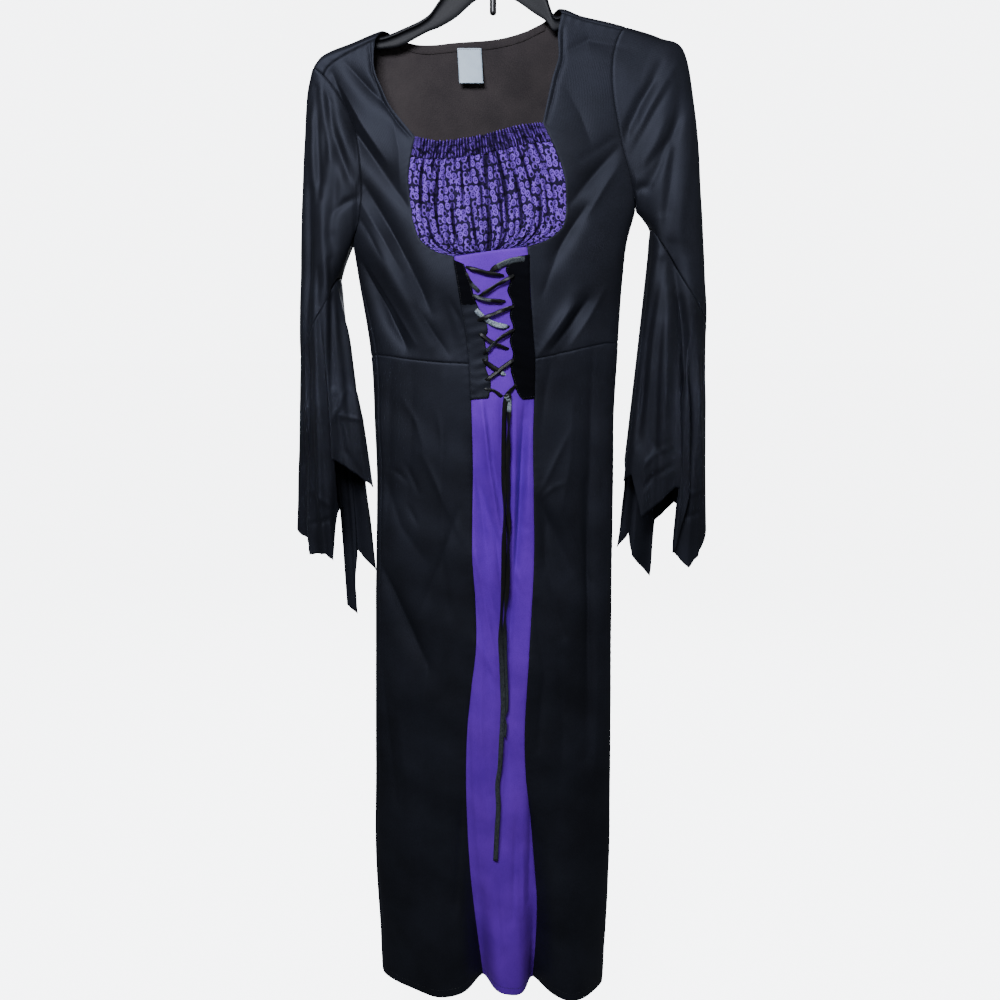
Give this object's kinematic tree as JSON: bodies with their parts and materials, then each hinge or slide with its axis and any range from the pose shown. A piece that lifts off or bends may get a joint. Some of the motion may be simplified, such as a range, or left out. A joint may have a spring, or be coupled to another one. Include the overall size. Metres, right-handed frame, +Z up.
{
  "type": "witch costume dress",
  "caption": "Full-length fancy-dress gown with laced front, gathered insert and ragged sleeve flounces, hung on a moulded hanger.",
  "frame": {"origin": "bearing point inside the top of the hanger's hook, where a rail carries it", "axes": "+Z up; the dress's front faces -Y; the wearer's right is towards -X"},
  "size_m": [0.535, 0.1131, 1.4227],
  "materials": {
    "black_knit": "smooth black polyester knit with a soft sheen",
    "purple_knit": "purple polyester knit with a soft sheen",
    "print_cloth": "purple cloth printed with dark motifs, gathered",
    "black_pile": "short black pile cloth, matte",
    "black_satin": "narrow black satin ribbon",
    "label_tape": "white woven tape, bare",
    "hanger_plastic": "dark moulded plastic with a low gloss",
    "hook_plastic": "black plastic"
  },
  "bodies": {
    "root": {"back_bodice": "black_knit", "back_skirt": "black_knit", "bust_insert": "print_cloth", "centre_panel": "purple_knit", "front_bodice_l": "black_knit", "front_bodice_r": "black_knit", "front_skirt_l": "black_knit", "front_skirt_r": "black_knit", "hanger_body": "hanger_plastic", "hanger_hook": "hook_plastic", "insert_casing": "print_cloth", "label": "label_tape", "lace_run_01": "black_satin", "lace_run_02": "black_satin", "lace_run_03": "black_satin", "lace_run_04": "black_satin", "lace_run_05": "black_satin", "lace_run_06": "black_satin", "lace_run_07": "black_satin", "lace_run_08": "black_satin", "lace_run_09": "black_satin", "lace_run_10": "black_satin", "lace_run_11": "black_satin", "lace_run_12": "black_satin", "lace_run_13": "black_satin", "lace_tail_long": "black_satin", "lace_tail_short": "black_satin", "neck_binding": "black_knit", "placket_l": "black_pile", "placket_r": "black_knit", "sleeve_flounce_l": "black_knit", "sleeve_flounce_r": "black_knit", "upper_sleeve_l": "black_knit", "upper_sleeve_r": "black_knit"}
  },
  "joints": []
}
